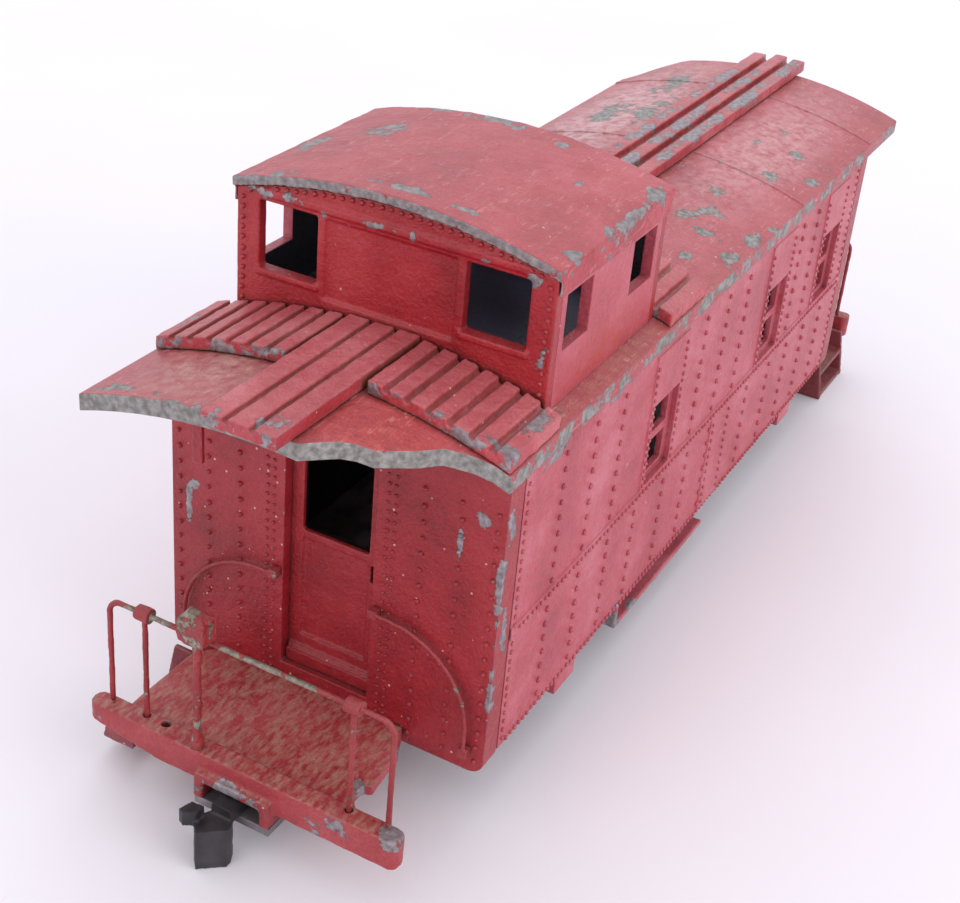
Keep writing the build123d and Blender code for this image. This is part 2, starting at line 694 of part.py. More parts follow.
# Railings: a bent wire top rail on outer posts, with two cast inner posts through the end sill
for end, facing in ends:
    rail_z = end_sill_top + rail_height
    with BuildPart() as railing:
        with BuildLine() as rail_path:
            FilletPolyline((facing * rail_x, -rail_half, end_sill_top), (facing * rail_x, -rail_half, rail_z),
                           (facing * rail_x, rail_half, rail_z), (facing * rail_x, rail_half, end_sill_top),
                           radius=rail_bend)
        with BuildSketch(Plane(origin=(facing * rail_x, -rail_half, end_sill_top), z_dir=(0, 0, 1))):
            Circle(rail_wire)
        sweep(path=rail_path.wire())
        for hand in (1, -1):
            upright(facing * rail_x, hand * inner_post_y,
                    (end_sill_top - end_sill_height - inner_post_tail, rail_z), rail_wire)
            with Locations(Location((facing * rail_x, hand * inner_post_y, rail_z), (90, 0, 0))):
                Cylinder(eye_radius, eye_length)
    finish(railing, f"railing_{end}", 0x9A4648)

# Brake staffs: a cast rod with a flared foot and a lump where the wheel was
for end, facing in ends:
    head_length, head_width, head_tall = staff_head
    head_bottom = end_sill_top + rail_height + rail_wire + staff_head_gap
    with BuildPart() as staff:
        upright(facing * staff_x, facing * staff_y, (end_sill_top, head_bottom + staff_head_socket),
                staff_radius)
        with Locations(Location((facing * staff_x, facing * staff_y, end_sill_top))):
            Cone(staff_foot_radius, staff_radius, staff_foot_height,
                 align=(Align.CENTER, Align.CENTER, Align.MIN))
        block((facing * staff_x - head_length / 2, facing * staff_x + head_length / 2),
              (facing * staff_y - head_width / 2, facing * staff_y + head_width / 2),
              (head_bottom, head_bottom + head_tall))
        chamfer(staff.edges().group_by(Axis.Z)[-1], staff_head_chamfer)
    finish(staff, f"brake_staff_{end}", 0x9A4648)

# Curved handrails of fine wire beside the doors, each with a lug at both ends
for end, facing in ends:
    wire_x = facing * (end_face + handrail_standoff)
    for side, hand in sides:
        upper = side_bottom + handrail_top
        lower = side_bottom + handrail_foot
        with BuildPart() as handrail:
            with BuildLine() as wire_path:
                FilletPolyline((wire_x, hand * handrail_inner, upper), (wire_x, hand * handrail_outer, upper),
                               (wire_x, hand * handrail_outer, lower), radius=handrail_bend)
            with BuildSketch(Plane(origin=(wire_x, hand * handrail_inner, upper), z_dir=(0, hand, 0))):
                Circle(handrail_wire)
            sweep(path=wire_path.wire())
            for y, z in ((handrail_inner, upper), (handrail_outer, lower)):
                block((facing * end_face, wire_x + facing * handrail_wire),
                      (hand * y - handrail_lug / 2, hand * y + handrail_lug / 2),
                      (z - handrail_lug / 2, z + handrail_lug / 2))
        finish(handrail, f"handrail_{end}_{side}", 0x9A4648)

# Strap left from an end ladder, hanging under the front overhang
with BuildPart() as ladder_strap:
    strap_top = height_of(roof_under, abs(hanger_y) + hanger_width / 2) - fit / 2
    block((hanger_x - hanger_thickness / 2, hanger_x + hanger_thickness / 2),
          (hanger_y - hanger_width / 2, hanger_y + hanger_width / 2), (strap_top - hanger_length, strap_top))
finish(ladder_strap, "ladder_strap", 0x8C3A3E)

# Pocket covers and their screws
for end, facing in ends:
    with BuildPart() as cover:
        block((facing * (end_face + fit), facing * (pocket_front - cover_setback)),
              (-pocket_half_width, pocket_half_width), (cover_bottom, pocket_lift))
        upright(facing * pivot_x, 0, (cover_bottom, pocket_lift), screw_radius + screw_clearance,
                mode=Mode.SUBTRACT)
    finish(cover, f"pocket_cover_{end}", 0x6A6E70)

for end, facing in ends:
    with BuildPart() as screw:
        upright(facing * pivot_x, 0, (cover_bottom, deck_bottom - screw_tip_gap), screw_radius)
        upright(facing * pivot_x, 0, (cover_bottom - screw_head_height, cover_bottom), screw_head_radius)
        block((facing * pivot_x - screw_head_radius, facing * pivot_x + screw_head_radius),
              (-slot_width / 2, slot_width / 2),
              (cover_bottom - screw_head_height, cover_bottom - screw_head_height + slot_depth),
              mode=Mode.SUBTRACT)
    finish(screw, f"pocket_screw_{end}", 0xB8B8B0)

# Couplers: a ring on the pocket's boss, a shank, and a head with a slanted face and a horn
for end, facing in ends:
    coupler_top = coupler_bottom + coupler_thickness
    tail_back = pivot_x - coupler_ring_radius - tail_length
    slot_half = spring_thickness / 2 + spring_clearance
    with BuildPart() as coupler:
        upright(facing * pivot_x, 0, (coupler_bottom, coupler_top), coupler_ring_radius)
        block((facing * pivot_x, facing * (head_back + head_root)), (-shank_width / 2, shank_width / 2),
              (coupler_bottom, coupler_top))
        block((facing * tail_back, facing * pivot_x), (-tail_half_width, tail_half_width),
              (coupler_bottom, coupler_top))
        for base, tall, outline in ((0, head_height, head_profile),
                                    (coupler_bottom, coupler_thickness, horn_profile)):
            with BuildSketch(plan(base, facing)):
                with BuildLine():
                    Polyline(*[(head_back + reach, across) for reach, across in outline], close=True)
                make_face()
            extrude(amount=tall)
        upright(facing * pivot_x, 0, (coupler_bottom, coupler_top), pivot_radius + pivot_clearance,
                mode=Mode.SUBTRACT)
        slot_front = tail_back + spring_bite + spring_slot_end
        block((facing * tail_back, facing * slot_front), (-slot_half, slot_half),
              (coupler_bottom, coupler_top), mode=Mode.SUBTRACT)
    finish(coupler, f"coupler_{end}", 0x2A2A2C)

    middle = coupler_bottom + coupler_thickness / 2
    with BuildPart() as spring:
        block((facing * (tail_back + spring_bite), facing * (tail_back + spring_bite - spring_length)),
              (-spring_thickness / 2, spring_thickness / 2),
              (middle - spring_height / 2, middle + spring_height / 2))
    finish(spring, f"coupler_spring_{end}", 0xB08A50)
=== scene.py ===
import math
import random

import bpy
from mathutils import Matrix, Vector


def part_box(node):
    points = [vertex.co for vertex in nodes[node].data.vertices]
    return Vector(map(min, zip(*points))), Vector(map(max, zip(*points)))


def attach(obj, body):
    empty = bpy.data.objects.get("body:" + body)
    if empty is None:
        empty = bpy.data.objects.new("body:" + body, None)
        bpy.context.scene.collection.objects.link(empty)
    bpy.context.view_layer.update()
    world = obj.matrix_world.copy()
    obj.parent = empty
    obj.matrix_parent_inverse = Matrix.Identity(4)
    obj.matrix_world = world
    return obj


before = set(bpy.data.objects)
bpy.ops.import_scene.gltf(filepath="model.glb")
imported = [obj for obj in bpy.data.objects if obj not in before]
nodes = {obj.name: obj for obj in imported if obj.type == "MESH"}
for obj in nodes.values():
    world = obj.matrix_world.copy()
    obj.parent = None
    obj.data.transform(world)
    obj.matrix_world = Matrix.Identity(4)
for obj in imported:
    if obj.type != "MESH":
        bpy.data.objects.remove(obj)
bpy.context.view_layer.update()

mm = 0.001
scene = bpy.context.scene
print("frame loaded:", len(nodes), "nodes")


def linear(hexText):
    # sRGB hex to the linear values that Blender's sockets take
    values = [int(hexText[i:i + 2], 16) / 255 for i in (1, 3, 5)]
    return tuple(v / 12.92 if v <= 0.04045 else ((v + 0.055) / 1.055) ** 2.4 for v in values) + (1.0,)


def addNode(tree, kind, settings=None, links=None):
    # one node with its settings (attributes or sockets) and the sockets that feed it
    node = tree.nodes.new(kind)
    for key, value in (settings or {}).items():
        if isinstance(key, int) or key in node.inputs:
            node.inputs[key].default_value = value
        else:
            setattr(node, key, value)
    for key, source in (links or {}).items():
        tree.links.new(source, node.inputs[key])
    return node


def setRamp(ramp, stops):
    # stops: (position, hex colour), in order
    colors = ramp.color_ramp
    while len(colors.elements) < len(stops):
        colors.elements.new(0.5)
    for element, (position, hexText) in zip(colors.elements, stops):
        element.position = position
        element.color = linear(hexText)


# ---- camera, floor and light
shot = {
    "place": (145.0, 60.9, 102.2),     # mm
    "forward": (-0.777, -0.393, -0.491),
    "roll": 4.98,                      # degrees
    "lens": 60.19,
    "shift": (0.0182, -0.0427),
}
forward = Vector(shot["forward"]).normalized()
level = forward.cross(Vector((0, 0, 1))).normalized()
upward = level.cross(forward)
roll = math.radians(shot["roll"])
rolledRight = level * math.cos(roll) + upward * math.sin(roll)
rolledUp = upward * math.cos(roll) - level * math.sin(roll)
cameraData = bpy.data.cameras.new("camera")
cameraData.lens = shot["lens"]
cameraData.shift_x, cameraData.shift_y = shot["shift"]
cameraData.clip_start = 0.01
camera = bpy.data.objects.new("camera", cameraData)
scene.collection.objects.link(camera)
turn = Matrix((rolledRight, rolledUp, -forward)).transposed().to_4x4()
camera.matrix_world = Matrix.Translation(Vector(shot["place"]) * mm) @ turn
scene.camera = camera

studio = {
    "worldColor": "#F6F5FB",
    "worldStrength": 1.0,
    "floorSize": 4.0,                  # m
    # name: (place in m, width in m, power in W, colour), all aimed at the object
    "lamps": {
        "skyPanel": ((-0.50, -0.30, 0.80), 1.1, 2.0, "#FAFAFF"),
        "sidePanel": ((0.10, 1.00, 0.45), 0.8, 3.6, "#FFFCFA"),
        "frontPanel": ((0.95, -0.25, 0.40), 0.7, 1.7, "#FFF6EE"),
    },
}
world = bpy.data.worlds.new("studio")
world.use_nodes = True
world.node_tree.nodes["Background"].inputs["Color"].default_value = linear(studio["worldColor"])
world.node_tree.nodes["Background"].inputs["Strength"].default_value = studio["worldStrength"]
scene.world = world
scene.view_settings.view_transform = "Standard"
for lampName, (place, width, power, color) in studio["lamps"].items():
    lampData = bpy.data.lights.new(lampName, "AREA")
    lampData.shape = "DISK"
    lampData.size = width
    lampData.energy = power
    lampData.color = linear(color)[:3]
    lamp = bpy.data.objects.new(lampName, lampData)
    lamp.location = place
    lamp.rotation_euler = (Vector((0, 0, 0.02)) - Vector(place)).to_track_quat("-Z", "Y").to_euler()
    scene.collection.objects.link(lamp)

floorMesh = bpy.data.meshes.new("floor")
reach = studio["floorSize"] / 2
floorMesh.from_pydata([(-reach, -reach, 0), (reach, -reach, 0), (reach, reach, 0), (-reach, reach, 0)],
                      [], [(0, 1, 2, 3)])
floor = bpy.data.objects.new("floor", floorMesh)
floor.location.z = -0.02 * mm
scene.collection.objects.link(floor)


def matteStudioPaper():
    # white card: even, dull, a trace of lavender
    material = bpy.data.materials.new("matteStudioPaper")
    material.use_nodes = True
    tree = material.node_tree
    shader = tree.nodes["Principled BSDF"]
    place = addNode(tree, "ShaderNodeTexCoord").outputs["Object"]
    clouds = addNode(tree, "ShaderNodeTexNoise", {"Scale": 14.0, "Detail": 3.0}, {"Vector": place})
    tint = addNode(tree, "ShaderNodeValToRGB", {}, {"Fac": clouds.outputs["Fac"]})
    setRamp(tint, [(0.3, "#ECEAF0"), (0.7, "#F1EFF5")])
    fibre = addNode(tree, "ShaderNodeTexNoise", {"Scale": 900.0}, {"Vector": place})
    press = addNode(tree, "ShaderNodeBump", {"Strength": 0.15, "Distance": 0.1 * mm},
                    {"Height": fibre.outputs["Fac"]})
    tree.links.new(tint.outputs["Color"], shader.inputs["Base Color"])
    tree.links.new(press.outputs["Normal"], shader.inputs["Normal"])
    shader.inputs["Roughness"].default_value = 0.75
    return material


floorMesh.materials.append(matteStudioPaper())
print("studio ready")

# ---- finishes
# Red enamel brushed over die-cast zinc: a satin, uneven film, chipped to dull grey metal.
# film: ramp of the red, made paler on the riveted sides as a painted sheen; flakes: 0 none to 0.4 many; rim: share of
# an edge worn bare;
# ledges: how much of the upright edges is bare; dustAndTopLight: pale film on upward faces, dust and painted top light;
# grimeAndNookShade: dirt and painted shade in corners; paintedShadeAndLight: painted shade on the unlit insides and
# painted window light under the cupola, as (centre, half size, colour) in mm; patches: bare spots as (centre, half
# size) in mm; strokes: scuffed dirt;
# stains: soft clouds of another tone as (centre, half size, colour) in mm; flecks: share of stray pale specks
enamel = {
    "rivetedSideEnamelPaintedSheen": {
        # the film is paler than on the ends: painted sheen, the glancing light on the sides laid into the red paint's
        # colour
        "film": ("#A03844", "#B64A57", "#C56B76"), "flakes": 0.262, "rim": 0.08, "ledges": 0.0, "rough": 0.38,
        "dustAndTopLight": 0.2, "grimeAndNookShade": 0.8, "flecks": 0.15,
        "paintedShadeAndLight": [((0, 0, 20), (46.3, 15.48, 17.5), "#16110F"), ((29.15, 0, 45), (10.1, 14.32, 8.0), "#22222A")],
        "patches": [((40.0, 16.9, 34.6), (2.2, 0.5, 0.5)), ((27.0, 16.9, 34.8), (3.2, 0.5, 0.4)),
                    ((19.2, 16.4, 5.4), (1.4, 1.2, 2.0)), ((15.0, 16.6, 4.0), (2.4, 0.6, 0.6)),
                    ((9.6, 16.6, 4.0), (1.0, 0.6, 0.5)), ((33.0, 15.4, 50.0), (6.0, 0.6, 0.3))],
        "stains": [((29.0, 15.8, 40.0), (9.0, 1.5, 3.0), "#B03A35")],
    },
    "doorEndEnamelOnZinc": {
        "film": ("#7E121B", "#981D27", "#A52D36"), "flakes": 0.27, "rim": 0.13, "ledges": 0.0, "rough": 0.34,
        "dustAndTopLight": 0.1, "grimeAndNookShade": 0.7, "flecks": 0.3,
        "paintedShadeAndLight": [((0, 0, 20), (46.3, 15.5, 17.5), "#16110F")],
        "patches": [((47.9, -14.9, 21.8), (0.8, 0.4, 3.0)), ((47.9, -14.4, 24.4), (0.8, 0.8, 0.5)),
                    ((47.9, 16.6, 25.5), (0.8, 0.45, 4.0)), ((47.9, 16.6, 15.0), (0.8, 0.3, 3.0)),
                    ((47.9, 12.6, 28.6), (0.8, 0.25, 2.0)), ((47.9, 14.5, 31.5), (0.8, 0.6, 0.9)),
                    ((47.0, 16.8, 31.0), (0.9, 0.4, 3.2)), ((46.6, 16.8, 21.0), (0.6, 0.4, 3.0)),
                    ((47.9, 5.6, 19.2), (0.8, 0.35, 0.45))],
    },
    "roofEnamelOnZinc": {
        "film": ("#8E1F29", "#A62F3B", "#B84F5B"), "flakes": 0.325, "rim": 0.26, "ledges": 0.56, "rough": 0.36,
        "dustAndTopLight": 0.35, "grimeAndNookShade": 0.8, "flecks": 0.5, "metal": ("#76736F", "#A6A3A0"), "scratches": 0.35,
        # bluish-grey painted window light on the roof under the cupola, then near-black painted shade inside the body
        "paintedShadeAndLight": [((29.15, 0, 30), (11.1, 15.35, 11.5), "#5C5E74"), ((0, 0, 20), (46.3, 15.48, 17.5), "#16110F")],
        "patches": [((-3.8, 9.2, 39.7), (1.2, 1.4, 1.2)), ((-2.6, 12.4, 39.0), (0.9, 1.9, 1.2)),
                    ((-0.2, 16.2, 37.9), (1.6, 0.9, 1.2)), ((-6.2, 16.4, 37.9), (2.0, 0.8, 1.2)),
                    ((-10.8, 16.9, 37.8), (1.2, 0.6, 1.2)), ((-15.8, 4.2, 40.3), (1.0, 0.6, 1.0)),
                    ((-20.4, 6.9, 40.0), (0.7, 0.4, 1.0)), ((-23.0, 12.4, 39.0), (1.1, 0.8, 1.0)),
                    ((-31.7, 12.4, 39.0), (1.3, 0.8, 1.0)), ((-27.0, 16.0, 38.0), (1.3, 0.8, 1.0)),
                    ((-30.9, -6.4, 40.1), (5.0, 1.6, 1.0)), ((-28.9, -10.6, 39.4), (4.0, 2.4, 1.0)),
                    ((-44.0, -8.9, 39.7), (5.0, 1.6, 1.0)), ((-36.3, 8.9, 39.7), (1.2, 1.0, 1.0)),
                    ((-29.5, 7.9, 39.9), (1.2, 0.7, 1.0)), ((57.8, -14.0, 39.0), (0.9, 2.5, 2.0)),
                    ((58.8, -5.5, 40.0), (0.5, 2.6, 1.5)), ((-7.5, 11.0, 39.3), (1.6, 1.0, 1.0)),
                    ((4.0, 13.0, 38.9), (1.0, 0.7, 1.0)), ((-12.8, 9.0, 39.7), (0.9, 1.2, 1.0))],
        "stains": [((53.5, 8.5, 40.0), (8.5, 7.5, 3.5), "#B8261C"), ((43.0, 16.2, 38.0), (7.0, 1.6, 1.5), "#9A3B2A"),
                   ((22.0, 16.4, 38.0), (20.0, 1.2, 1.5), "#9C4A38"), ((-30.0, 9.0, 39.5), (24.0, 6.0, 2.5), "#C68A8E"),
                   ((52.0, -9.0, 39.5), (7.0, 6.0, 2.5), "#B07A70"),
                   ((-30.0, -10.0, 39.5), (26.0, 7.0, 3.0), "#CDA9AC")],
    },
    "cupolaRoofEnamelOnZinc": {
        "film": ("#901D28", "#AA2C39", "#BB4A57"), "flakes": 0.305, "rim": 0.22, "ledges": 0.34, "rough": 0.40, "scratches": 0.25,
        "dustAndTopLight": 0.3, "grimeAndNookShade": 0.5, "flecks": 0.5, "metal": ("#7A7577", "#A39D9C"), "paintedShadeAndLight": [],
        "patches": [((25.1, -9.5, 52.3), (2.4, 1.8, 1.2)), ((17.8, -8.2, 52.6), (0.9, 1.6, 1.2)),
                    ((18.4, -2.2, 53.3), (0.9, 2.2, 1.2)), ((19.2, 0.6, 53.3), (1.0, 0.7, 1.0)),
                    ((20.0, 5.3, 53.0), (0.6, 0.5, 0.8)), ((26.2, 10.0, 52.3), (0.7, 0.5, 0.8)),
                    ((22.1, 10.6, 52.1), (0.5, 0.4, 0.8)), ((36.8, 15.2, 51.2), (1.6, 0.8, 1.0)),
                    ((31.3, 15.4, 51.2), (1.0, 0.5, 0.8)), ((26.5, 15.4, 51.2), (3.0, 0.5, 0.7)),
                    ((20.8, 15.0, 51.2), (1.8, 1.0, 1.0)), ((38.4, -0.6, 53.3), (0.6, 2.2, 1.0)),
                    ((38.6, 5.5, 53.0), (0.5, 1.6, 1.0)), ((39.8, -11.6, 52.0), (0.9, 2.6, 0.9)),
                    ((30.5, -14.0, 51.6), (3.0, 0.8, 0.9))],
    },
    "cupolaWallEnamelOnZinc": {
        "film": ("#88131C", "#A21F28", "#B03339"), "flakes": 0.27, "rim": 0.14, "ledges": 0.0, "rough": 0.34,
        "dustAndTopLight": 0.15, "grimeAndNookShade": 0.7, "flecks": 0.3,
        "paintedShadeAndLight": [((29.15, 0, 45), (10.1, 14.32, 8.0), "#22222A")],
        "patches": [((40.3, 14.6, 43.0), (0.6, 0.5, 1.4)), ((40.5, -11.6, 50.4), (0.6, 2.4, 0.55)),
                    ((40.4, -6.4, 50.0), (0.6, 0.4, 0.4)), ((40.5, -1.6, 50.3), (0.6, 1.6, 0.35)),
                    ((40.5, 2.2, 50.2), (0.6, 0.45, 0.35)), ((40.5, 9.0, 50.1), (0.6, 0.6, 0.3)),
                    ((40.4, 13.2, 49.6), (0.6, 0.6, 0.5)), ((33.0, 15.4, 40.0), (7.0, 0.5, 0.3))],
    },
    "walkEnamelOnZinc": {
        "film": ("#9C2A33", "#B23C45", "#C66A70"), "flakes": 0.315, "rim": 0.30, "ledges": 0.12, "rough": 0.36,
        "dustAndTopLight": 0.45, "grimeAndNookShade": 0.9, "flecks": 0.5, "dirt": "#7D5A48", "paintedShadeAndLight": [],
        "patches": [((-20.0, 2.6, 41.9), (14.0, 0.9, 0.9)), ((-38.0, 2.6, 41.9), (8.0, 0.9, 0.9)),
                    ((-26.0, 0.0, 41.9), (12.0, 0.8, 0.9)), ((-8.0, 0.2, 41.9), (5.0, 0.8, 0.9)),
                    ((-52.0, 2.6, 41.9), (8.0, 0.8, 0.9)), ((-46.0, -0.1, 41.9), (9.0, 0.8, 0.9)),
                    ((-20.0, -2.6, 41.9), (10.0, 0.7, 0.9)), ((-44.0, -2.6, 41.9), (9.0, 0.7, 0.9)),
                    ((59.6, 1.2, 41.4), (1.2, 1.6, 1.2)), ((60.6, -2.4, 41.6), (1.0, 0.9, 0.8)),
                    ((43.0, 16.4, 39.4), (2.4, 0.8, 1.0)), ((48.6, 16.0, 39.0), (0.8, 1.4, 1.4)),
                    ((49.2, 9.4, 40.6), (0.5, 1.8, 0.8)), ((45.6, -16.4, 39.2), (1.6, 0.5, 0.7)),
                    ((49.4, 4.9, 41.2), (0.6, 0.9, 0.9)), ((49.4, -4.9, 41.2), (0.6, 1.4, 0.8))],
    },
    "platformEnamelOnZinc": {
        "film": ("#8A282C", "#A03238", "#B25256"), "flakes": 0.28, "rim": 0.24, "ledges": 0.0, "rough": 0.46,
        "dustAndTopLight": 0.0, "grimeAndNookShade": 0.9, "flecks": 0.4, "paintedShadeAndLight": [], "strokes": "#B08C7A",
        "patches": [((61.4, 9.5, 6.4), (0.8, 1.9, 1.0)), ((60.4, 14.6, 7.8), (1.0, 1.2, 0.9)),
                    ((61.9, 0.0, 5.0), (0.6, 3.6, 1.6)), ((60.4, -15.4, 7.4), (1.1, 1.0, 0.9)),
                    ((50.6, 10.4, 7.2), (1.0, 1.0, 0.8)), ((56.6, 9.4, 7.2), (0.8, 0.7, 0.8))],
    },
    "stepEnamelOnZinc": {
        "film": ("#70242A", "#84343A", "#96484C"), "flakes": 0.30, "rim": 0.30, "ledges": 0.0, "rough": 0.5,
        "dustAndTopLight": 0.1, "grimeAndNookShade": 0.9, "flecks": 0.4, "paintedShadeAndLight": [], "strokes": "#8A6A5A", "patches": [],
    },
    "wireEnamelOnBrass": {
        "film": ("#7A1C20", "#93282D", "#A3494A"), "flakes": 0.40, "rim": 0.12, "ledges": 0.0, "rough": 0.42,
        "dustAndTopLight": 0.2, "grimeAndNookShade": 0.5, "flecks": 0.3, "paintedShadeAndLight": [], "metal": ("#7A7266", "#A39C8E"),
        "patches": [((60.6, -4.4, 21.0), (1.7, 2.0, 2.4)), ((59.7, -9.5, 18.8), (0.6, 3.4, 0.7)),
                    ((59.7, 3.0, 18.8), (0.6, 6.5, 0.7))],
    },
}


def chippedEnamel(name, look):
    # satin red film over oxidised zinc: flakes, worn rims, dirt and painted shade in corners, pale dust and painted top
    # light on upward faces, painted shade and light on the insides
    material = bpy.data.materials.new(name)
    material.use_nodes = True
    tree = material.node_tree
    shader = tree.nodes["Principled BSDF"]
    place = addNode(tree, "ShaderNodeTexCoord").outputs["Object"]
    inMm = addNode(tree, "ShaderNodeVectorMath", {"operation": "SCALE", "Scale": 1000.0}, {0: place}).outputs[0]
    normal = addNode(tree, "ShaderNodeNewGeometry").outputs["Normal"]
    facing = addNode(tree, "ShaderNodeSeparateXYZ", {}, {0: normal}).outputs

    # patches 8 mm across, speckle 1 mm, grain 0.3 mm, ragged outlines for chips 1 to 4 mm across
    broad = addNode(tree, "ShaderNodeTexNoise", {"Scale": 0.12, "Detail": 5.0, "Roughness": 0.6}, {"Vector": inMm})
    speckle = addNode(tree, "ShaderNodeTexNoise", {"Scale": 0.9, "Detail": 6.0, "Roughness": 0.7}, {"Vector": inMm})
    grain = addNode(tree, "ShaderNodeTexNoise", {"Scale": 3.2, "Detail": 3.0, "Roughness": 0.65}, {"Vector": inMm})
    ragged = addNode(tree, "ShaderNodeTexNoise", {"Scale": 0.42, "Detail": 9.0, "Roughness": 0.68}, {"Vector": inMm})

    shade = addNode(tree, "ShaderNodeMath", {"operation": "MULTIPLY_ADD", 1: 0.4},
                    {0: grain.outputs["Fac"], 2: broad.outputs["Fac"]})
    film = addNode(tree, "ShaderNodeValToRGB", {}, {"Fac": shade.outputs[0]})
    deep, mid, pale = look["film"]
    setRamp(film, [(0.50, deep), (0.70, mid), (0.92, pale)])
    color = film.outputs["Color"]

    for centre, half, tone in look.get("stains", []):
        cloud = addNode(tree, "ShaderNodeMapping", {"vector_type": "TEXTURE", "Location": centre, "Scale": half},
                        {"Vector": inMm})
        away = addNode(tree, "ShaderNodeVectorMath", {"operation": "LENGTH"}, {0: cloud.outputs[0]}).outputs["Value"]
        soft = addNode(tree, "ShaderNodeMapRange", {"From Min": 1.3, "From Max": 0.4}, {"Value": away})
        blotch = addNode(tree, "ShaderNodeMapRange", {"From Min": 0.35, "From Max": 0.6}, {"Value": speckle.outputs["Fac"]})
        cover = addNode(tree, "ShaderNodeMath", {"operation": "MULTIPLY"}, {0: soft.outputs[0], 1: blotch.outputs[0]})
        color = addNode(tree, "ShaderNodeMix", {"data_type": "RGBA", 7: linear(tone)},
                        {0: cover.outputs[0], 6: color}).outputs[2]

    # pale pink on upward faces: dust, and painted top light that makes roofs and tops lighter than the sides
    if look["dustAndTopLight"] > 0:
        upFacingDustAndLight = addNode(tree, "ShaderNodeMapRange", {"From Min": 0.2, "From Max": 0.95, "To Max": look["dustAndTopLight"]},
                          {"Value": facing["Z"]})
        patchy = addNode(tree, "ShaderNodeMath", {"operation": "MULTIPLY"},
                         {0: upFacingDustAndLight.outputs[0], 1: speckle.outputs["Fac"]})
        color = addNode(tree, "ShaderNodeMix", {"data_type": "RGBA", 7: linear("#C58F90")},
                        {0: patchy.outputs[0], 6: color}).outputs[2]

    if look.get("strokes"):
        # dry dirt scuffed across the deck in two directions, strokes 0.3 mm wide
        scuffs = None
        for angle, seed in ((0.6, 0.0), (-0.9, 40.0)):
            turned = addNode(tree, "ShaderNodeMapping", {"Rotation": (0, 0, angle), "Location": (seed, 0, 0),
                                                         "Scale": (0.7, 1.9, 1.0)}, {"Vector": inMm})
            streak = addNode(tree, "ShaderNodeTexNoise", {"Scale": 1.0, "Detail": 4.0, "Roughness": 0.6},
                             {"Vector": turned.outputs[0]}).outputs["Fac"]
            if scuffs is None:
                scuffs = streak
            else:
                scuffs = addNode(tree, "ShaderNodeMath", {"operation": "MAXIMUM"}, {0: scuffs, 1: streak}).outputs[0]
        dry = addNode(tree, "ShaderNodeMapRange", {"From Min": 0.46, "From Max": 0.66}, {"Value": scuffs})
        flat = addNode(tree, "ShaderNodeMapRange", {"From Min": 0.5, "From Max": 0.9}, {"Value": facing["Z"]})
        cover = addNode(tree, "ShaderNodeMath", {"operation": "MULTIPLY"}, {0: dry.outputs[0], 1: flat.outputs[0]})
        cover = addNode(tree, "ShaderNodeMath", {"operation": "MULTIPLY", 1: 0.65}, {0: cover.outputs[0]})
        color = addNode(tree, "ShaderNodeMix", {"data_type": "RGBA", 7: linear(look["strokes"])},
                        {0: cover.outputs[0], 6: color}).outputs[2]

    # dark brown in corners, recesses and under rivet heads, found by ambient occlusion: dirt, and painted shade there
    # as well
    nook = addNode(tree, "ShaderNodeAmbientOcclusion", {"samples": 4, "Distance": 1.0 * mm})
    grimeAndShadeMask = addNode(tree, "ShaderNodeMapRange", {"From Min": 0.30, "From Max": 0.72, "To Min": look["grimeAndNookShade"],
                                                  "To Max": 0.0}, {"Value": nook.outputs["AO"]})
    color = addNode(tree, "ShaderNodeMix", {"data_type": "RGBA", 7: linear(look.get("dirt", "#57332A"))},
                    {0: grimeAndShadeMask.outputs[0], 6: color}).outputs[2]

    # stray specks 0.2 mm across: pale lint and dust, and a few dark pits
    cells = addNode(tree, "ShaderNodeTexVoronoi", {"Scale": 1.15}, {"Vector": inMm})
    lot = addNode(tree, "ShaderNodeSeparateColor", {}, {0: cells.outputs["Color"]}).outputs
    size = addNode(tree, "ShaderNodeMath", {"operation": "MULTIPLY", 1: 0.17}, {0: lot["Blue"]})
    inside = addNode(tree, "ShaderNodeMath", {"operation": "SUBTRACT"},
                     {0: size.outputs[0], 1: cells.outputs["Distance"]})
    dot = addNode(tree, "ShaderNodeMapRange", {"From Min": 0.0, "From Max": 0.05}, {"Value": inside.outputs[0]})
    for channel, share, tone in (("Red", look["flecks"], "#DDBBB0"), ("Green", look["flecks"] / 2, "#5A2A28")):
        drawn = addNode(tree, "ShaderNodeMath", {"operation": "LESS_THAN", 1: share * 0.6}, {0: lot[channel]})
        speck = addNode(tree, "ShaderNodeMath", {"operation": "MULTIPLY"}, {0: drawn.outputs[0], 1: dot.outputs[0]})
        speck = addNode(tree, "ShaderNodeMath", {"operation": "MULTIPLY", 1: 0.75}, {0: speck.outputs[0]})
        color = addNode(tree, "ShaderNodeMix", {"data_type": "RGBA", 7: linear(tone)},
                        {0: speck.outputs[0], 6: color}).outputs[2]

    if look.get("scratches"):
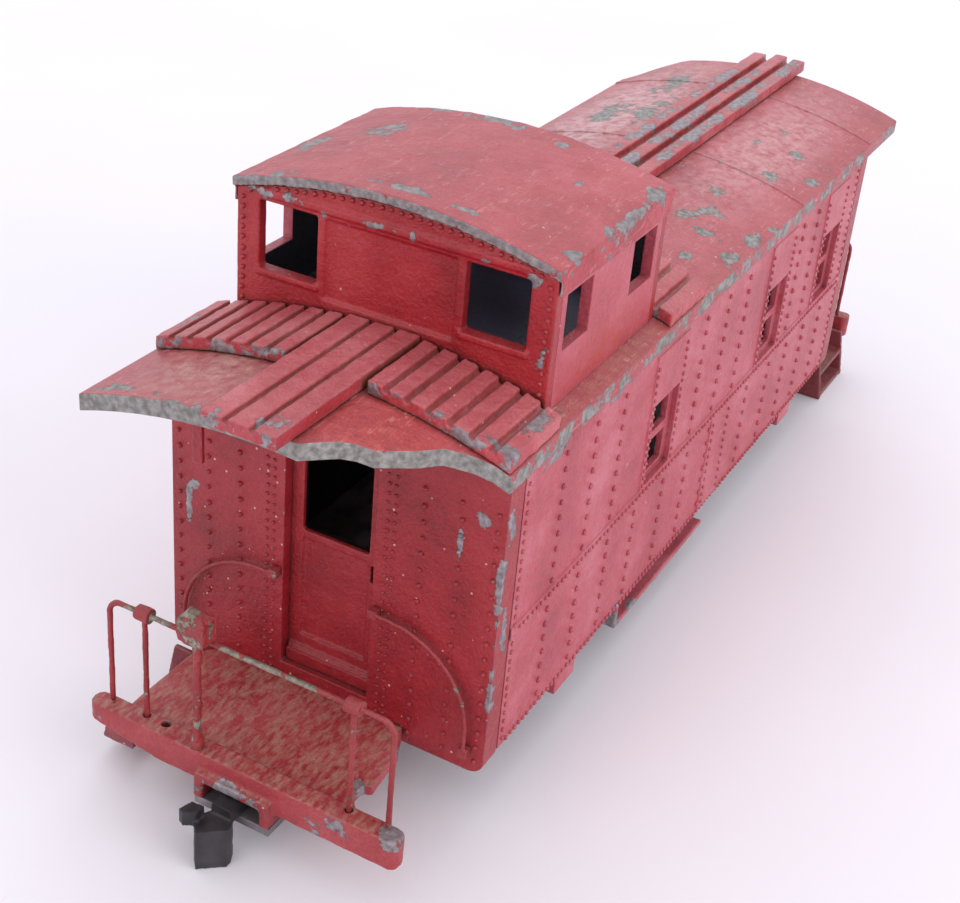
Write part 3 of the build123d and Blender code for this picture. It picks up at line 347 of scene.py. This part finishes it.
        # long shallow scratches, crossing at a slant, pale where the film is scored
        for angle, seed in ((0.35, 10.0), (-0.8, 70.0), (1.3, 130.0)):
            turned = addNode(tree, "ShaderNodeMapping", {"Rotation": (0, 0, angle), "Location": (seed, 0, 0),
                                                         "Scale": (0.05, 0.9, 0.2)}, {"Vector": inMm})
            field = addNode(tree, "ShaderNodeTexNoise", {"Scale": 1.0, "Detail": 2.0}, {"Vector": turned.outputs[0]})
            line = addNode(tree, "ShaderNodeMath", {"operation": "COMPARE", 1: 0.5, 2: 0.006},
                           {0: field.outputs["Fac"]})
            broken = addNode(tree, "ShaderNodeMath", {"operation": "GREATER_THAN", 1: 0.52}, {0: speckle.outputs["Fac"]})
            score = addNode(tree, "ShaderNodeMath", {"operation": "MULTIPLY"}, {0: line.outputs[0], 1: broken.outputs[0]})
            score = addNode(tree, "ShaderNodeMath", {"operation": "MULTIPLY", 1: look["scratches"]},
                            {0: score.outputs[0]})
            color = addNode(tree, "ShaderNodeMix", {"data_type": "RGBA", 7: linear("#D8A09C")},
                            {0: score.outputs[0], 6: color}).outputs[2]

    # flakes lost all over, then wear along edges
    flake = addNode(tree, "ShaderNodeMapRange", {"From Min": 1 - look["flakes"], "From Max": 1.012 - look["flakes"]},
                    {"Value": ragged.outputs["Fac"]})
    bare = flake.outputs[0]
    rounded = addNode(tree, "ShaderNodeBevel", {"samples": 4, "Radius": 0.22 * mm})
    turned = addNode(tree, "ShaderNodeVectorMath", {"operation": "DOT_PRODUCT"}, {0: rounded.outputs[0], 1: normal})
    rim = addNode(tree, "ShaderNodeMath", {"operation": "SUBTRACT", 0: 1.0}, {1: turned.outputs["Value"]})
    rimRough = addNode(tree, "ShaderNodeMath", {"operation": "MULTIPLY_ADD", 1: 0.9},
                       {0: rim.outputs[0], 2: ragged.outputs["Fac"]})
    worn = addNode(tree, "ShaderNodeMapRange", {"From Min": 0.82 - look["rim"], "From Max": 0.85 - look["rim"]},
                   {"Value": rimRough.outputs[0]})
    corner = addNode(tree, "ShaderNodeMath", {"operation": "GREATER_THAN", 1: 0.05}, {0: rim.outputs[0]})
    worn = addNode(tree, "ShaderNodeMath", {"operation": "MULTIPLY"}, {0: worn.outputs[0], 1: corner.outputs[0]})
    bare = addNode(tree, "ShaderNodeMath", {"operation": "MAXIMUM"}, {0: bare, 1: worn.outputs[0]}).outputs[0]

    if look["ledges"] > 0:
        # upright edge faces of a plate, where handling takes the film first
        level = addNode(tree, "ShaderNodeMath", {"operation": "ABSOLUTE"}, {0: facing["Z"]})
        upright = addNode(tree, "ShaderNodeMath", {"operation": "LESS_THAN", 1: 0.6}, {0: level.outputs[0]})
        lengthways = addNode(tree, "ShaderNodeMath", {"operation": "ABSOLUTE"}, {0: facing["X"]})
        knock = addNode(tree, "ShaderNodeMath", {"operation": "MULTIPLY_ADD", 1: 0.22},
                        {0: lengthways.outputs[0], 2: ragged.outputs["Fac"]})
        rubbed = addNode(tree, "ShaderNodeMath", {"operation": "GREATER_THAN", 1: 0.78 - 0.5 * look["ledges"]},
                         {0: knock.outputs[0]})
        both = addNode(tree, "ShaderNodeMath", {"operation": "MULTIPLY"}, {0: upright.outputs[0], 1: rubbed.outputs[0]})
        bare = addNode(tree, "ShaderNodeMath", {"operation": "MAXIMUM"}, {0: bare, 1: both.outputs[0]}).outputs[0]

    nearest = None
    for centre, half in look["patches"]:
        patch = addNode(tree, "ShaderNodeMapping", {"vector_type": "TEXTURE", "Location": centre, "Scale": half},
                        {"Vector": inMm})
        away = addNode(tree, "ShaderNodeVectorMath", {"operation": "LENGTH"}, {0: patch.outputs[0]}).outputs["Value"]
        if nearest is None:
            nearest = away
        else:
            nearest = addNode(tree, "ShaderNodeMath", {"operation": "MINIMUM"}, {0: nearest, 1: away}).outputs[0]
    if nearest is not None:
        jagged = addNode(tree, "ShaderNodeMath", {"operation": "MULTIPLY_ADD", 1: -6.0},
                         {0: ragged.outputs["Fac"], 2: nearest})
        knocked = addNode(tree, "ShaderNodeMapRange", {"From Min": -2.2, "From Max": -2.3},
                          {"Value": jagged.outputs[0]})
        bare = addNode(tree, "ShaderNodeMath", {"operation": "MAXIMUM"}, {0: bare, 1: knocked.outputs[0]}).outputs[0]

    oxide = addNode(tree, "ShaderNodeTexNoise", {"Scale": 1.7, "Detail": 4.0}, {"Vector": inMm})
    metal = addNode(tree, "ShaderNodeValToRGB", {}, {"Fac": oxide.outputs["Fac"]})
    dark, light = look.get("metal", ("#7F777A", "#A9A1A5"))
    setRamp(metal, [(0.35, dark), (0.70, light)])
    color = addNode(tree, "ShaderNodeMix", {"data_type": "RGBA"},
                    {0: bare, 6: color, 7: metal.outputs["Color"]}).outputs[2]

    # flat colours over the insides: near-black painted shade in the body and cupola, bluish-grey painted window light
    # on the roof under the cupola
    for centre, half, tone in look["paintedShadeAndLight"]:
        boxed = addNode(tree, "ShaderNodeMapping", {"vector_type": "TEXTURE", "Location": centre, "Scale": half},
                        {"Vector": inMm})
        spread = addNode(tree, "ShaderNodeVectorMath", {"operation": "ABSOLUTE"}, {0: boxed.outputs[0]})
        axes = addNode(tree, "ShaderNodeSeparateXYZ", {}, {0: spread.outputs[0]}).outputs
        widest = addNode(tree, "ShaderNodeMath", {"operation": "MAXIMUM"}, {0: axes["X"], 1: axes["Y"]})
        widest = addNode(tree, "ShaderNodeMath", {"operation": "MAXIMUM"}, {0: widest.outputs[0], 1: axes["Z"]})
        within = addNode(tree, "ShaderNodeMath", {"operation": "LESS_THAN", 1: 1.0}, {0: widest.outputs[0]})
        color = addNode(tree, "ShaderNodeMix", {"data_type": "RGBA", 7: linear(tone)},
                        {0: within.outputs[0], 6: color}).outputs[2]

    satin = addNode(tree, "ShaderNodeMath", {"operation": "MULTIPLY_ADD", 1: 0.22, 2: look["rough"] - 0.11},
                    {0: speckle.outputs["Fac"]})
    gloss = addNode(tree, "ShaderNodeMix", {"data_type": "FLOAT", 3: 0.5}, {0: bare, 2: satin.outputs[0]})
    metallic = addNode(tree, "ShaderNodeMath", {"operation": "MULTIPLY", 1: 0.55}, {0: bare})

    # relief in mm: the film's step down to metal, brush marks, grain
    step = addNode(tree, "ShaderNodeMath", {"operation": "MULTIPLY", 1: -0.10}, {0: bare})
    relief = addNode(tree, "ShaderNodeMath", {"operation": "MULTIPLY_ADD", 1: 0.11},
                     {0: grain.outputs["Fac"], 2: step.outputs[0]})
    relief = addNode(tree, "ShaderNodeMath", {"operation": "MULTIPLY_ADD", 1: 0.20},
                     {0: speckle.outputs["Fac"], 2: relief.outputs[0]})
    bump = addNode(tree, "ShaderNodeBump", {"Strength": 0.8, "Distance": mm}, {"Height": relief.outputs[0]})

    tree.links.new(color, shader.inputs["Base Color"])
    tree.links.new(gloss.outputs[0], shader.inputs["Roughness"])
    tree.links.new(metallic.outputs[0], shader.inputs["Metallic"])
    tree.links.new(bump.outputs["Normal"], shader.inputs["Normal"])
    shader.inputs["IOR"].default_value = 1.5
    return material


# plain materials: colour ramp of two, grain size in mm, relief in mm, roughness range
plain = {
    # injection-moulded acetal: near black, slightly waxy, with mould grain
    "mouldedAcetalPlastic": {"ramp": ("#1E1C20", "#3A363B"), "size": 0.5, "relief": 0.03, "rough": (0.42, 0.6),
                             "metallic": 0.0, "ior": 1.48},
    # zinc as cast and never painted: grey, grainy, dull
    "bareDieCastZinc": {"ramp": ("#6E686C", "#A29A9E"), "size": 1.2, "relief": 0.04, "rough": (0.42, 0.62),
                        "metallic": 0.6},
    # zinc-plated steel screws: brighter, with turned grain
    "platedSteelScrew": {"ramp": ("#8D8C88", "#B9B7B0"), "size": 0.3, "relief": 0.01, "rough": (0.28, 0.42),
                         "metallic": 1.0},
    # rolled phosphor bronze leaf: warm brown metal with rolling lines
    "rolledBronzeLeaf": {"ramp": ("#8A6337", "#B98B55"), "size": 0.4, "relief": 0.008, "rough": (0.25, 0.4),
                         "metallic": 1.0},
}


def grainyMaterial(name, look):
    material = bpy.data.materials.new(name)
    material.use_nodes = True
    tree = material.node_tree
    shader = tree.nodes["Principled BSDF"]
    place = addNode(tree, "ShaderNodeTexCoord").outputs["Object"]
    grain = addNode(tree, "ShaderNodeTexNoise", {"Scale": 1000.0 / look["size"] / 2, "Detail": 5.0}, {"Vector": place})
    broad = addNode(tree, "ShaderNodeTexNoise", {"Scale": 350.0, "Detail": 4.0}, {"Vector": place})
    tone = addNode(tree, "ShaderNodeValToRGB", {}, {"Fac": broad.outputs["Fac"]})
    setRamp(tone, [(0.36, look["ramp"][0]), (0.68, look["ramp"][1])])
    low, high = look["rough"]
    gloss = addNode(tree, "ShaderNodeMapRange", {"To Min": low, "To Max": high}, {"Value": grain.outputs["Fac"]})
    bump = addNode(tree, "ShaderNodeBump", {"Strength": 0.7, "Distance": look["relief"] * mm},
                   {"Height": grain.outputs["Fac"]})
    tree.links.new(tone.outputs["Color"], shader.inputs["Base Color"])
    tree.links.new(gloss.outputs[0], shader.inputs["Roughness"])
    tree.links.new(bump.outputs["Normal"], shader.inputs["Normal"])
    shader.inputs["Metallic"].default_value = look["metallic"]
    if "ior" in look:
        shader.inputs["IOR"].default_value = look["ior"]
    return material


materials = {name: chippedEnamel(name, look) for name, look in enamel.items()}
materials.update({name: grainyMaterial(name, look) for name, look in plain.items()})

wears = {
    "rivetedSideEnamelPaintedSheen": ["side_wall_right", "side_wall_left", "centre_sill", "bolster_front", "bolster_rear",
                                "equipment_channel_right", "equipment_channel_left", "cupola_side_right",
                                "cupola_side_left"],
    "doorEndEnamelOnZinc": ["end_wall_front", "end_wall_rear", "door_front", "door_rear", "ladder_strap"],
    "roofEnamelOnZinc": ["main_roof"],
    "cupolaRoofEnamelOnZinc": ["cupola_roof"],
    "cupolaWallEnamelOnZinc": ["cupola_front_wall", "cupola_rear_wall"],
    "walkEnamelOnZinc": ["running_board_front", "running_board_rear", "walkway_front_right", "walkway_front_left",
                         "walkway_rear_right", "walkway_rear_left"],
    "platformEnamelOnZinc": ["platform_front", "platform_rear"],
    "stepEnamelOnZinc": ["step_front_left", "step_rear_left", "step_rear_right"],
    "wireEnamelOnBrass": ["railing_front", "railing_rear", "brake_staff_front", "brake_staff_rear",
                          "handrail_front_right", "handrail_front_left", "handrail_rear_right",
                          "handrail_rear_left"],
    "mouldedAcetalPlastic": ["coupler_front", "coupler_rear"],
    "bareDieCastZinc": ["floor_plate", "pocket_cover_front", "pocket_cover_rear"],
    "platedSteelScrew": ["pocket_screw_front", "pocket_screw_rear", "floor_screws"],
    "rolledBronzeLeaf": ["coupler_spring_front", "coupler_spring_rear"],
}
for materialName, members in wears.items():
    for member in members:
        nodes[member].material_slots[0].material = materials[materialName]
print("finishes ready:", len(materials))

# ---- cast shapes: plates get rounded arrises, small castings and wires get the lumps of a thick hand-brushed coat
# pierced: nodes with a hole right through a flat face, whose faces stay as they are, because one joined face
# would close the hole
plates = {"width": 0.10, "angle": 32, "pierced": ("end_wall", "floor_plate")}   # mm, degrees
lumps = {                                                 # node start: (voxel, lump depth, lump size) in mm
    "platform": (0.16, 0.10, 1.6), "step": (0.14, 0.10, 1.4), "railing": (0.09, 0.10, 1.1),
    "brake_staff": (0.10, 0.30, 1.0), "handrail": (0.08, 0.08, 0.9), "ladder_strap": (0.09, 0.12, 0.9),
    "coupler_front": (0.10, 0.10, 1.2), "coupler_rear": (0.10, 0.10, 1.2), "equipment": (0.14, 0.08, 1.6),
    "cupola_front": (0.12, 0.05, 1.2), "cupola_rear": (0.12, 0.05, 1.2), "cupola_roof": (0.16, 0.16, 2.2),
    "running_board": (0.15, 0.16, 1.3), "walkway": (0.14, 0.14, 1.1), "door": (0.12, 0.05, 1.4),
}
for name, node in nodes.items():
    rough = [shape for start, shape in lumps.items() if name.startswith(start)]
    if rough:
        voxel, depth, size = rough[0]
        remesh = node.modifiers.new("castSkin", "REMESH")
        remesh.mode = "VOXEL"
        remesh.voxel_size = voxel * mm
        remesh.use_smooth_shade = True
        smooth = node.modifiers.new("softened", "SMOOTH")
        smooth.factor = 0.5
        smooth.iterations = 3
        clouds = bpy.data.textures.new(f"lumps_{name}", "CLOUDS")
        clouds.noise_scale = size * mm
        clouds.noise_depth = 2
        lump = node.modifiers.new("lumps", "DISPLACE")
        lump.texture = clouds
        lump.texture_coords = "GLOBAL"
        lump.strength = depth * mm
        lump.mid_level = 0.75
        continue
    weld = node.modifiers.new("weld", "WELD")
    weld.merge_threshold = 0.002 * mm
    if not name.startswith(plates["pierced"]):
        flat = node.modifiers.new("flatFaces", "DECIMATE")
        flat.decimate_type = "DISSOLVE"
        flat.angle_limit = math.radians(0.6)
    arris = node.modifiers.new("castArris", "BEVEL")
    arris.width = plates["width"] * mm
    arris.segments = 2
    arris.limit_method = "ANGLE"
    arris.angle_limit = math.radians(plates["angle"])
    arris.use_clamp_overlap = False
    shading = node.modifiers.new("shading", "WEIGHTED_NORMAL")
    shading.keep_sharp = False
print("castings softened")

# ---- rivets: domed heads cast with the plates, each a little off its mark
rivet = {"radius": 0.30, "height": 0.32, "sunk": 0.05, "sides": 8, "stray": 0.05}   # mm
dice = random.Random(7)


def rivetField(name, heads, outward, scale, material):
    # heads: points on a face; outward: that face's direction
    outward = Vector(outward).normalized()
    across = outward.orthogonal().normalized()
    along = outward.cross(across)
    sides = rivet["sides"]
    rings = ((1.0, -rivet["sunk"]), (0.98, 0.25 * rivet["height"]), (0.72, 0.72 * rivet["height"]),
             (0.36, 0.95 * rivet["height"]))
    vertices, faces = [], []
    for head in heads:
        base = len(vertices)
        size = scale * dice.uniform(0.88, 1.08)
        centre = Vector(head) + across * dice.uniform(-1, 1) * rivet["stray"] + along * dice.uniform(-1, 1) * rivet["stray"]
        for share, lift in rings:
            for k in range(sides):
                angle = 2 * math.pi * k / sides
                offset = (across * math.cos(angle) + along * math.sin(angle)) * (rivet["radius"] * share * size)
                vertices.append((centre + offset + outward * lift * size) * mm)
        vertices.append((centre + outward * rivet["height"] * size) * mm)
        top = len(vertices) - 1
        faces.append([base + k for k in reversed(range(sides))])
        for ring in range(len(rings) - 1):
            for k in range(sides):
                a, b = base + ring * sides + k, base + ring * sides + (k + 1) % sides
                faces.append([a, b, b + sides, a + sides])
        last = base + (len(rings) - 1) * sides
        for k in range(sides):
            faces.append([last + k, last + (k + 1) % sides, top])
    mesh = bpy.data.meshes.new(name)
    mesh.from_pydata(vertices, [], faces)
    mesh.polygons.foreach_set("use_smooth", [True] * len(mesh.polygons))
    mesh.materials.append(materials[material])
    piece = bpy.data.objects.new(name, mesh)
    scene.collection.objects.link(piece)
    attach(piece, "body_shell")


def rows(low, high, pitch):
    # evenly pitched places from low to high
    return [low + k * pitch for k in range(int((high - low) / pitch + 0.001) + 1)]


# places are mm from the middle and above the side's lower edge
sideRivets = {
    "columns": (37.6, 31.4, 25.4, 5.6, -0.6, -6.6, -24.2, -29.4),
    "lowerColumns": (37.9, 31.5, 25.1, 18.8, 11.6, 5.1, -1.0, -12.6, -19.9, -26.1, -32.3, -38.8),
    "windows": (14.6, -17.4, -36.8), "jamb": 3.55,
    "upper": (13.9, 27.2, 1.63), "lower": (1.45, 11.1, 1.58),
    "edge": 44.6, "edgeRows": (0.9, 27.6, 0.95),
    "belt": 12.7, "foot": 0.35, "beltPlaces": (-44.0, 44.0, 0.82),
    "splice": (-6.5, -2.0), "strip": 0.14,
}
lowCorner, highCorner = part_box("side_wall_right")
strip = sideRivets["strip"]
sideFace = highCorner.y / mm - strip
sideBottom = lowCorner.z / mm
for side, hand in (("right", 1), ("left", -1)):
    face = hand * sideFace
    proud = hand * (sideFace + strip)
    heads = [(x, face, sideBottom + z) for x in sideRivets["columns"] for z in rows(*sideRivets["upper"])]
    heads += [(x, face, sideBottom + z) for x in sideRivets["lowerColumns"] for z in rows(*sideRivets["lower"])]
    fine = [(edge * sideRivets["edge"], face, sideBottom + z) for edge in (-1, 1)
            for z in rows(*sideRivets["edgeRows"])]
    fine += [(x, proud, sideBottom + sideRivets["belt"]) for x in rows(*sideRivets["beltPlaces"])]
    fine += [(x, face, sideBottom + sideRivets["foot"]) for x in rows(*sideRivets["beltPlaces"])]
    fine += [(x, proud, sideBottom + z) for x in sideRivets["splice"] for z in rows(1.3, 11.6, 0.98)]
    fine += [(x + jamb * sideRivets["jamb"], proud, sideBottom + z) for x in sideRivets["windows"]
             for jamb in (-1, 1) for z in rows(13.7, 27.3, 0.86)]
    rivetField(f"rivets_side_{side}", heads, (0, hand, 0), 1.0, "rivetedSideEnamelPaintedSheen")
    rivetField(f"rivets_side_fine_{side}", fine, (0, hand, 0), 0.74, "rivetedSideEnamelPaintedSheen")

endRivets = {"columns": (-15.9, -12.7, -9.3, 9.1, 12.6, 15.9), "rows": (0.2, 27.0, 1.6),
             "jambs": (-6.4, -5.7, 5.7, 6.4), "jambRows": (0.2, 27.0, 0.92)}
for end, facing in (("front", 1), ("rear", -1)):
    low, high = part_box(f"end_wall_{end}")
    face = (high.x if facing > 0 else low.x) / mm
    heads = [(face, facing * y, sideBottom + z) for y in endRivets["columns"] for z in rows(*endRivets["rows"])]
    jambHeads = [(face, y, sideBottom + z) for y in endRivets["jambs"] for z in rows(*endRivets["jambRows"])]
    rivetField(f"rivets_end_{end}", heads, (facing, 0, 0), 0.85, "doorEndEnamelOnZinc")
    rivetField(f"rivets_end_fine_{end}", jambHeads, (facing, 0, 0), 0.62, "doorEndEnamelOnZinc")

# rows under the cupola roof's arch, down its corners and beside its windows
cupolaRivets = {"edge": 14.75, "rows": (31.2, 43.0, 0.95), "archDrop": 0.42, "archPlaces": (-14.0, 14.0, 0.93),
                "crown": 45.6, "archRadius": 55.0, "sillProud": 0.3}
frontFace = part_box("cupola_front_wall")[1].x / mm - cupolaRivets["sillProud"]
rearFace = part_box("cupola_rear_wall")[0].x / mm + cupolaRivets["sillProud"]
for end, face, facing in (("front", frontFace, 1), ("rear", rearFace, -1)):
    heads = [(face, hand * cupolaRivets["edge"], sideBottom + z) for hand in (-1, 1)
             for z in rows(*cupolaRivets["rows"])]
    for y in rows(*cupolaRivets["archPlaces"]):
        drop = cupolaRivets["archRadius"] - math.sqrt(cupolaRivets["archRadius"] ** 2 - y * y)
        heads.append((face, y, sideBottom + cupolaRivets["crown"] - cupolaRivets["archDrop"] - drop))
    rivetField(f"rivets_cupola_{end}", heads, (facing, 0, 0), 0.8, "cupolaWallEnamelOnZinc")
print("rivets set")
